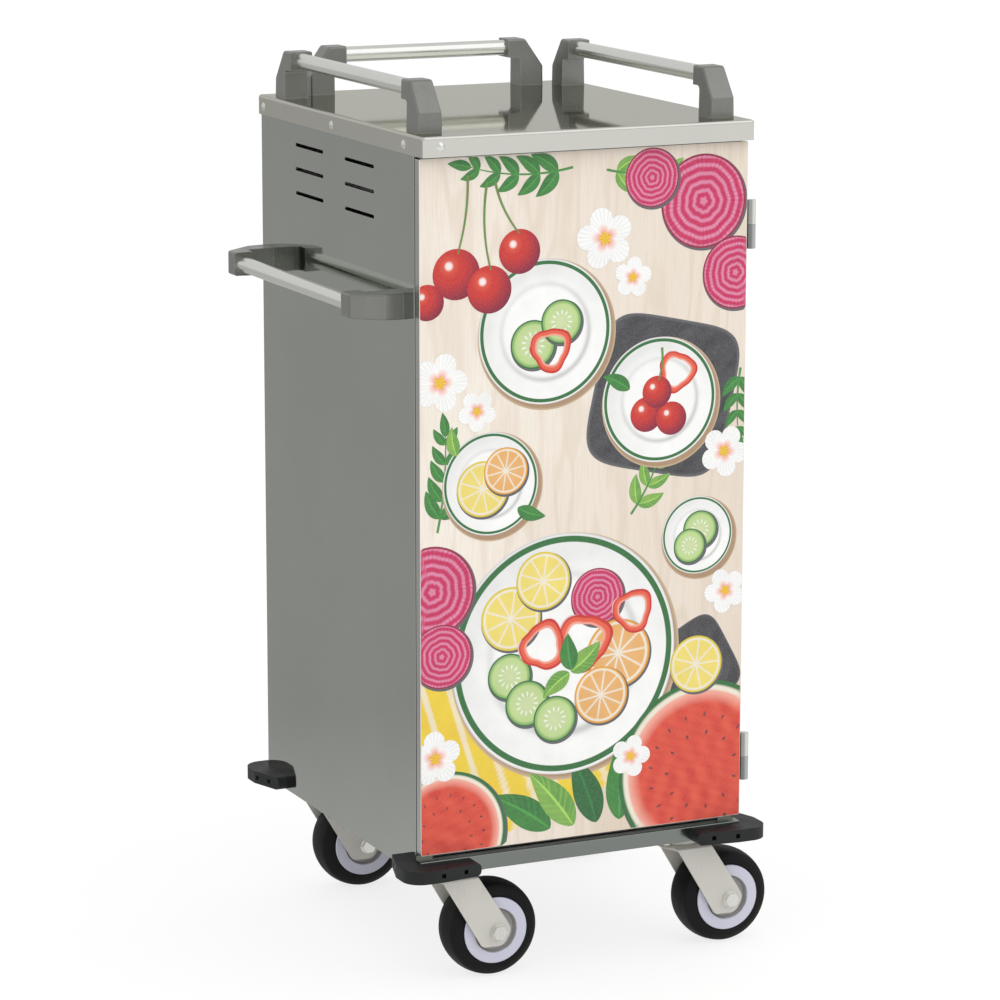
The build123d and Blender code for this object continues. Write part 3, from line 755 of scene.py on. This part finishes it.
plates = [
    ((-0.030, 0.455), 0.168, 5), ((0.112, 0.795), 0.086, 5), ((-0.140, 0.700), 0.070, 6),
    ((0.172, 0.602), 0.054, 6), ((-0.060, 0.900), 0.098, 4),
]
plate_shapes = []
for place, radius, layer in plates:
    shade_place = (place[0] + 0.003, place[1] - 0.004)
    plate_shapes.append(flat_shape(shade_place, radius + 0.004, round_shadow, layer - 1))
    plate_shapes.append(
        flat_shape(place, radius, plate, layer, detail=(46, 160), sharp=(rim_from, rim_to, 0.99))
    )
print_piece("print_plates", plate_shapes)

# %% [markdown]
# ## Slices
# Cut fruit and roots are round and built from rings and wedges, so a formula in distance
# and angle draws them: wedges of citrus between pale walls, the rings of a root, the seeds
# of a cucumber, and the wide red flesh of a melon with its rind.


# %% Slices
def citrus(flesh, peel, wedges=9):
    """Painter of a citrus slice: walls run along equal angles, juice in fine rays."""
    def paint(share, angle, x, z):
        turn = (angle * wedges / (2 * np.pi)) % 1
        wall = np.minimum(turn, 1 - turn) * 2 * np.pi / wedges * share
        juice = 0.5 + 0.5 * np.sin(angle * 83 + 5 * np.sin(share * 9))
        base = mixed(flesh, ink["cream"], 0.28 * juice + 0.15 * (1 - share))
        base = mixed(ink["cream"], base, step(wall, 0.028, 0.02) * step(share, 0.1, 0.05))
        base = mixed(base, ink["cream"], step(share, 0.85, 0.02))
        return mixed(base, peel, step(share, 0.93, 0.02))
    return paint


def root(share, angle, x, z):
    """Rings that alternate in wine and pink, slightly wavy, with a thin dark skin."""
    wave = share + 0.012 * np.sin(angle * 5) + 0.008 * np.sin(angle * 11 + 1)
    ring = 0.5 + 0.5 * np.sin(wave * 2 * np.pi * 5.5)
    base = mixed(ink["magenta"], ink["pink"], step(ring, 0.62, 0.5))
    base = mixed(base, ink["wine"], 0.25 + 0.25 * np.sin(angle * 61) * share)
    return mixed(base, ink["wine"], step(share, 0.955, 0.02))


def cucumber(share, angle, x, z):
    """Pale green flesh, a ring of slim seeds in threes, and a dark skin."""
    seed_turn = (angle * 12 / (2 * np.pi)) % 1 - 0.5
    seed = np.exp(-((seed_turn / 0.17) ** 2) - (((share - 0.42) / 0.13) ** 2))
    base = mixed(ink["lime"] * 1.2, ink["cream"], 0.55 - 0.35 * share)
    base = mixed(base, ink["white"], 0.9 * step(seed, 0.5, 0.3))
    base = mixed(base, ink["leaf"], 0.55 * step(share, 0.84, 0.1))
    return mixed(base, ink["green"], step(share, 0.94, 0.02))


def melon(share, angle, x, z):
    """Red flesh with grain and dark seeds in two rings, then white and green rind."""
    flesh = mixed(ink["red"], ink["coral"], 0.5 + 0.45 * waves(x, z, 0.022, 3))
    base = mixed(flesh, ink["blush"], step(share, 0.80, 0.12))
    for ring, count, shift in ((0.42, 11, 0.0), (0.62, 17, 0.4)):
        place = (angle * count / (2 * np.pi) + shift) % 1 - 0.5
        across = place * 2 * np.pi / count * ring
        seed = np.exp(-((across / 0.016) ** 2) - (((share - ring) / 0.034) ** 2))
        base = mixed(base, ink["charcoal"], step(seed, 0.55, 0.15))
    base = mixed(base, ink["cream"], step(share, 0.885, 0.02))
    return mixed(base, ink["green"], step(share, 0.945, 0.015))


lemon, orange = citrus(ink["yellow"], ink["yellow"] * 0.85), citrus(ink["amber"], ink["amber"], 10)
slices = [
    (melon, (0.182, 0.268), 0.128, 7), (melon, (-0.205, 0.222), 0.088, 7),
    (root, (0.176, 1.062), 0.064, 3), (root, (0.098, 1.098), 0.040, 4),
    (root, (0.226, 0.962), 0.050, 4), (root, (-0.226, 0.560), 0.062, 7),
    (root, (-0.212, 0.470), 0.044, 8), (root, (0.020, 0.530), 0.040, 8),
    (lemon, (-0.110, 0.512), 0.044, 8), (lemon, (-0.062, 0.560), 0.040, 9),
    (orange, (0.052, 0.448), 0.048, 9), (orange, (0.026, 0.392), 0.040, 10),
    (cucumber, (-0.112, 0.432), 0.032, 9), (cucumber, (-0.086, 0.392), 0.032, 10),
    (cucumber, (-0.044, 0.366), 0.032, 11), (cucumber, (0.176, 0.610), 0.026, 8),
    (cucumber, (0.160, 0.588), 0.024, 9), (lemon, (-0.152, 0.694), 0.038, 9),
    (cucumber, (-0.078, 0.884), 0.033, 6), (cucumber, (-0.036, 0.912), 0.030, 7),
    (orange, (-0.118, 0.716), 0.032, 10), (lemon, (0.172, 0.420), 0.040, 8),
]
detail_of = {melon: (70, 220), root: (56, 110)}


def drop_shade(share, angle, x, z):
    """One even grey for the thin line of shade under a slice."""
    return ink["slate"] * 1.3 + 0 * share[..., None]


ringed, wedged = [], []
for number, (paint, place, radius, layer) in enumerate(slices):
    shade_place = (place[0] + 0.0015, place[1] - 0.002)
    group = ringed if paint in detail_of else wedged
    group.append(flat_shape(shade_place, radius + 0.0015, drop_shade, layer - 0.5, detail=(2, 90)))
    detail = detail_of.get(paint, (40, 160))
    group.append(flat_shape(place, radius, paint, layer, turn=0.7 * number, detail=detail))
print_piece("print_melons_roots", ringed)
print_piece("print_citrus_cucumber", wedged)

# %% [markdown]
# ## Rings, berries and flowers
# Pepper rings are lobed bands with an open middle. Cherries are round with a window's
# light on them, drawn by the distance from a point up and to the left. Small white
# flowers have five petals, and their outline is a wave round the circle.


# %% Rings, berries and flowers
def lobed(angle):
    """Outline with three soft lobes."""
    return 1 + 0.11 * np.cos(3 * angle) + 0.02 * np.cos(7 * angle)


def petals(angle):
    """Outline with five round petals."""
    return 0.66 + 0.34 * np.abs(np.cos(2.5 * angle)) ** 0.7


def pepper(share, angle, x, z):
    """Glossy skin outside, pale wet flesh inside."""
    base = mixed(ink["blush"], ink["coral"], step(share, 0.74, 0.06))
    base = mixed(base, ink["red"], step(share, 0.9, 0.05))
    return mixed(base, ink["white"], 0.6 * step(np.cos(angle - 2.0), 0.93, 0.05) * (share > 0.95))


def cherry(share, angle, x, z):
    """Red ball: light falls off with the distance from a point up left; a window's spot."""
    size = np.hypot(x, z).max()
    off = np.hypot(x / size + 0.32, z / size - 0.34)
    base = mixed(ink["coral"], ink["red"], step(off, 0.25, 0.5))
    base = mixed(base, ink["wine"] * 0.8, step(off, 1.0, 0.7))
    return mixed(base, ink["white"], 0.85 * (1 - step(off, 0.16, 0.1)))


def flower(share, angle, x, z):
    """White petals with a blush at their roots, fine veins, and a yellow heart."""
    base = mixed(ink["blush"], ink["white"], step(share, 0.36, 0.3))
    vein = 0.5 + 0.5 * np.cos(angle * 35)
    base = mixed(base, ink["shade"] * 0.9, 0.35 * step(vein, 0.8, 0.2) * step(share, 0.5, 0.3))
    specks = 0.5 + 0.5 * np.sin(angle * 9) * step(share, 0.1, 0.05)
    heart = mixed(ink["yellow"], ink["amber"], specks)
    return mixed(heart, base, step(share, 0.22, 0.03))


print_piece("print_pepper_rings", [
    flat_shape(place, radius, pepper, layer, lobed, turn, hole=0.66, detail=(14, 120))
    for place, radius, layer, turn in (
        ((0.000, 0.470), 0.040, 12, 0.3), ((-0.062, 0.470), 0.034, 13, 1.2),
        ((0.074, 0.506), 0.030, 11, 0.8), ((0.138, 0.832), 0.028, 7, 0.1),
        ((-0.052, 0.876), 0.030, 9, 0.6),
    )
], ring=True)
cherries = [
    ((-0.190, 0.985), 0.034, 7), ((-0.142, 0.962), 0.032, 8), ((-0.098, 1.010), 0.030, 7),
    ((0.092, 0.776), 0.024, 7), ((0.130, 0.768), 0.023, 8), ((0.108, 0.806), 0.022, 9),
    ((-0.232, 0.950), 0.024, 6),
]
print_piece("print_cherries", [
    flat_shape(place, radius, cherry, layer, detail=(30, 90)) for place, radius, layer in cherries
])
flowers = [
    ((-0.214, 0.842), 0.040), ((-0.160, 0.800), 0.028), ((0.028, 1.020), 0.042),
    ((0.070, 0.965), 0.028), ((0.212, 0.716), 0.036), ((0.216, 0.520), 0.032),
    ((-0.222, 0.330), 0.038), ((0.072, 0.300), 0.030),
]
print_piece("print_flowers", [
    flat_shape(place, size, flower, 9, petals, 0.9 * number, detail=(30, 120), sharp=(0.22,))
    for number, (place, size) in enumerate(flowers)
])

# %% [markdown]
# ## Leaves and stems
# A leaf is a ribbon along a curved midrib, widest in its first half and drawn to a point.
# Its veins leave the midrib at a slant. Sprigs of leaves tie the groups together, along
# the top, down the sides and in a fan at the bottom.


# %% Leaves and stems
def bend(start, heading, length, curl, count=26):
    """Points of a line that starts here and turns steadily: heading grows by curl in all."""
    share = np.linspace(0, 1, count)
    way = heading + curl * share
    steps = np.column_stack([np.cos(way), np.sin(way)]) * length / (count - 1)
    return np.array(start) + np.cumsum(steps, axis=0) - steps[0]


def leaf_paint(dark, light):
    """Painter of a leaf: light midrib, slanted veins, one half a little darker."""
    def paint(along, side, x, z):
        away = np.abs(side)
        vein = np.sin((along * 9 - away * 1.6) * 2 * np.pi)
        base = mixed(light, dark, 0.55 + 0.3 * np.sign(side) * 0.5 + 0.2 * waves(x, z, 0.03, 2))
        base = mixed(base, light * 1.25, 0.5 * step(vein, 0.86, 0.12))
        return mixed(light * 1.5, base, step(away, 0.07, 0.08))
    return paint


def leaf(start, heading, length, curl=0.5, fat=0.42, layer=8.0, kind=0):
    """One leaf: its width is a sine whose peak is pulled towards the stalk."""
    path = bend(start, heading, length, curl, 40)
    share = np.linspace(0, 1, 40)
    width = 0.0006 + fat * length * np.sin(np.pi * share**0.75) ** 0.9
    green = ink["green"]
    tones = ((green, ink["leaf"]), (ink["leaf"], ink["lime"]), (green * 0.7, green))
    return flat_ribbon(path, width, leaf_paint(*tones[kind]), layer, across=15)


def sprig(start, heading, length, curl, pairs, size, layer, kind=0):
    """A stem with leaves in pairs on it, smaller towards the tip, and one leaf at the end."""
    stem = bend(start, heading, length, curl, 40)
    width = np.linspace(0.0034, 0.0012, 40)
    green = leaf_paint(ink["green"], ink["leaf"])
    shapes = [flat_ribbon(stem, width, green, layer + 0.2, across=5)]
    for number in range(pairs):
        at = int(6 + 30 * number / max(pairs - 1, 1))
        way = heading + curl * at / 39
        grown = size * (1 - 0.45 * number / pairs)
        for hand in (-1, 1):
            lift = layer + 0.03 * number + (0.015 if hand > 0 else 0)
            shapes.append(leaf(stem[at], way + hand * 0.95, grown, -hand * 0.55, 0.42, lift, kind))
    shapes.append(leaf(stem[-1], heading + curl, size * 0.75, 0.2, 0.4, layer + 0.4, kind))
    return shapes


sprays = (
    sprig((-0.020, 1.118), 3.35, 0.150, -0.5, 5, 0.046, 5, 0)
    + sprig((0.030, 1.112), -0.25, 0.105, 0.35, 4, 0.040, 2, 1)
    + sprig((-0.218, 0.640), 1.35, 0.130, 0.25, 5, 0.044, 3, 0)
    + sprig((0.070, 0.640), 0.9, 0.110, 0.4, 4, 0.042, 3, 1)
    + sprig((0.236, 0.830), -1.75, 0.090, 0.3, 4, 0.036, 4, 0)
)
fan = [
    leaf((-0.050 + 0.035 * number, 0.212), 2.45 - 0.32 * number, 0.105, 0.25, 0.40,
         4 + 0.1 * number, number % 3)
    for number in range(6)
]
garnish = [
    leaf((-0.020, 0.430), 0.5, 0.058, 0.4, 0.5, 13, 1),
    leaf((-0.018, 0.432), 1.9, 0.052, -0.4, 0.5, 13.2, 0),
    leaf((-0.022, 0.428), 3.6, 0.050, 0.4, 0.5, 13.4, 1),
    leaf((0.066, 0.812), 2.4, 0.045, 0.5, 0.45, 6.5, 0),
    leaf((-0.100, 0.664), -0.6, 0.044, 0.5, 0.45, 11, 0),
    leaf((-0.190, 0.742), 2.0, 0.040, -0.5, 0.45, 11, 1),
]
print_piece("print_leaves", sprays + fan + garnish)


def stalk(start, heading, length, curl, layer):
    """A cherry's stalk, which grows thicker towards the twig."""
    line = bend(start, heading, length, curl)
    width = np.linspace(0.0022, 0.0034, len(line))
    return flat_ribbon(line, width, leaf_paint(ink["brown"], ink["leaf"]), layer, across=5)


print_piece("print_stalks", [
    stalk((-0.188, 1.012), 1.25, 0.105, 0.35, 9), stalk((-0.140, 0.988), 1.85, 0.118, -0.45, 9.1),
    stalk((-0.098, 1.034), 2.3, 0.080, -0.5, 9.2), stalk((0.110, 0.822), 1.2, 0.045, 0.5, 10),
])

# %% [markdown]
# ## Floor
# The floor is plain and almost white, like paper rolled out in a studio. To the camera it
# is mostly a fixed white, mixed with a little of its real shading, so that the soft shadow
# under the cart stays. In reflections the floor is a painted glow instead, which falls from white
# at the front right to grey at the rear left as a stand-in for the lamp's fall-off: that slow
# change of tone is what makes sheet metal look like metal.


# %% Floor
reach = 40.0
paper_white, camera_share = 1.06, 0.74
rear_grey, front_white, slope, half_span = 0.5, 0.95, 0.45, 1.5


def floor_finish():
    """A fixed tone plus a share of real shading.

    The tone is white to the camera. In reflections it is a painted glow that rises from grey far
    to the rear left to white at the front right, along the line 0.45 x minus y.
    """
    finish = Finish("Pale studio floor", roughness=0.9, specular=0.0)
    cloud = finish.noise(0.8, detail=2.0)
    finish.colour(finish.blend(cloud, (0.90, 0.90, 0.90), (0.92, 0.92, 0.92)))
    rays = finish.add("ShaderNodeLightPath")
    position = finish.add("ShaderNodeSeparateXYZ")
    finish.link(finish.place, position.inputs[0])
    across = finish.sum(position.outputs["X"], slope, "MULTIPLY")
    lean = finish.sum(across, position.outputs["Y"], "SUBTRACT")
    # Painted light: what reflections see of the floor glows from grey at the rear left to white at
    # the front right, as a stand-in for the lamp's fall-off.
    tone = finish.spread(lean, -half_span, half_span, rear_grey, front_white)
    reflected = finish.blend(tone, (0.0, 0.0, 0.0), (1.0, 1.0, 1.0))
    glossy, clear = rays.outputs["Is Glossy Ray"], rays.outputs["Is Transmission Ray"]
    shown = finish.sum(glossy, clear, "MAXIMUM")
    fixed = finish.add("ShaderNodeEmission", strength=1.0)
    finish.link(finish.blend(shown, (paper_white,) * 3, reflected), fixed.inputs["Color"])
    seen = finish.sum(rays.outputs["Is Camera Ray"], camera_share, "MULTIPLY")
    share = finish.sum(seen, shown, "MAXIMUM")
    mix = finish.add("ShaderNodeMixShader")
    finish.link(share, mix.inputs[0])
    finish.link(finish.shader.outputs[0], mix.inputs[1])
    finish.link(fixed.outputs[0], mix.inputs[2])
    finish.link(mix.outputs[0], finish.tree.nodes["Material Output"].inputs["Surface"])
    return finish


floor_mesh = bpy.data.meshes.new("studio_floor")
floor_corners = [(x * reach, y * reach, 0) for x, y in ((-1, -1), (1, -1), (1, 1), (-1, 1))]
floor_mesh.from_pydata(floor_corners, [], [(0, 1, 2, 3)])
floor_mesh.materials.append(floor_finish().material)
floor = bpy.data.objects.new("studio_floor", floor_mesh)
bpy.context.scene.collection.objects.link(floor)
print("floor", 2 * reach, "m square")

# %% [markdown]
# ## Light
# The world is one even soft light, as inside a white tent: with it, a colour renders as it
# is written. The camera sees it as pure white. A single wide lamp at the front right adds
# a gentle direction, so that rounded forms turn from light to shade.

# %% World and lamp
white = (1.0, 1.0, 1.0, 1.0)
lamp_place, lamp_aim = Vector((2.6, -3.4, 4.6)), Vector((0, 0, 0.7))
world = bpy.data.worlds.new("Plain light")
world.use_nodes = True
nodes, links = world.node_tree.nodes, world.node_tree.links
even = nodes["Background"]
even.inputs["Color"].default_value = white
even.inputs["Strength"].default_value = 1.0
path = nodes.new("ShaderNodeLightPath")
surface = even
strengths = {"Is Glossy Ray": 0.7, "Is Transmission Ray": 0.7, "Is Camera Ray": 1.0}
for ray, strength in strengths.items():
    tone = nodes.new("ShaderNodeBackground")
    tone.inputs["Color"].default_value = white
    tone.inputs["Strength"].default_value = strength
    pick = nodes.new("ShaderNodeMixShader")
    links.new(path.outputs[ray], pick.inputs[0])
    links.new(surface.outputs[0], pick.inputs[1])
    links.new(tone.outputs[0], pick.inputs[2])
    surface = pick
links.new(surface.outputs[0], nodes["World Output"].inputs["Surface"])
bpy.context.scene.world = world

lamp_data = bpy.data.lights.new("soft_front", "AREA")
lamp_data.energy = 52.0
lamp_data.size = 5.5
lamp = bpy.data.objects.new("soft_front", lamp_data)
lamp.location = lamp_place
lamp.rotation_mode = "QUATERNION"
lamp.rotation_quaternion = (lamp_place - lamp_aim).to_track_quat("Z", "Y")
bpy.context.scene.collection.objects.link(lamp)
bpy.context.scene.view_settings.view_transform = "Standard"
print("lamp", lamp_data.energy, "W")

# %% [markdown]
# ## Camera
# The camera stands at the photograph's angle: a long lens from nearly six metres away,
# about 25 degrees round to the left and 12 degrees above the level. It is built from its
# three axes (side, top and away), which leaves no doubt about its roll.

# %% Camera
azimuth, elevation, roll = map(math.radians, (-25.0624, 11.8428, 0.0667))
camera_aim, camera_distance = Vector((0.00193, 0.0, 0.61395)), 5.7423
away = Vector((
    math.sin(azimuth) * math.cos(elevation),
    -math.cos(azimuth) * math.cos(elevation),
    math.sin(elevation),
))
right = (-away).cross(Vector((0, 0, 1))).normalized()
up = right.cross(-away)
side = right * math.cos(roll) + up * math.sin(roll)
top = up * math.cos(roll) - right * math.sin(roll)
camera_data = bpy.data.cameras.new("photo_view")
camera_data.lens = 146.53
camera_data.sensor_width = 36.0
camera_data.clip_end = 100.0
camera = bpy.data.objects.new("photo_view", camera_data)
camera.rotation_mode = "QUATERNION"
camera.location = camera_aim + away * camera_distance
camera.rotation_quaternion = Matrix((side, top, away)).transposed().to_quaternion()
bpy.context.scene.collection.objects.link(camera)
bpy.context.scene.camera = camera
print("camera", [round(v, 3) for v in camera.location])
